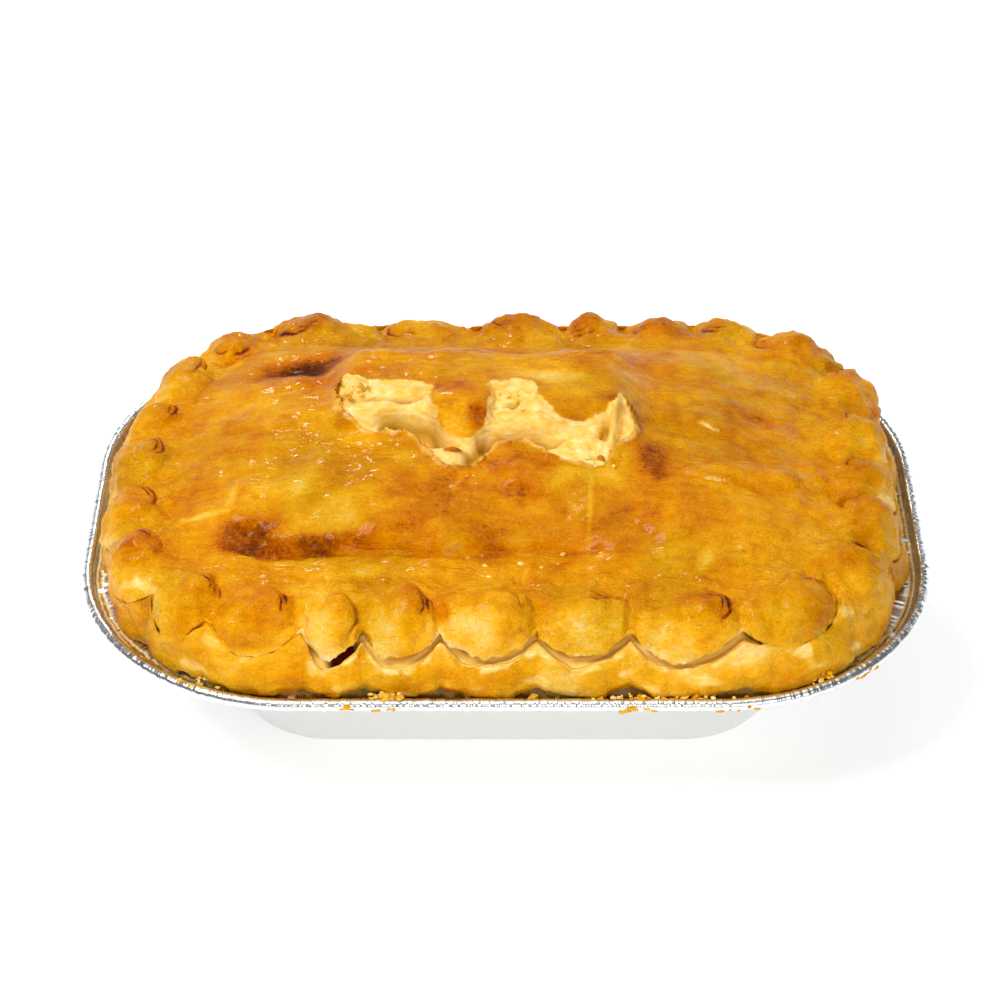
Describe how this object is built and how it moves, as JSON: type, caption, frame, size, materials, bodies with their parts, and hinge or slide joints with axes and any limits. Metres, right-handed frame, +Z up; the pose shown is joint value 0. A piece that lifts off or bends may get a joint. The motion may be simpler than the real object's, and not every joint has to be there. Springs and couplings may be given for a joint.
{
  "type": "steak pie",
  "caption": "Large oblong steak pie with a glazed, thumb-crimped puff pastry lid and a torn steam vent, baked and served in its own foil tray.",
  "frame": {"origin": "centre of the foil tray's footprint, on the surface it rests on", "axes": "+X along the pie's length, -Y towards the long side shown in front, +Z up"},
  "size_m": [0.28, 0.2, 0.0947],
  "materials": {
    "foil": "bright crumpled foil",
    "glazed_pastry": "glossy egg glaze, browned on the heads of the crimps",
    "pale_pastry": "satin, paler and flaky where it is torn"
  },
  "bodies": {
    "root": {"foil_tray": "foil", "pastry_base": "pale_pastry", "pastry_lid": "glazed_pastry"}
  },
  "joints": []
}
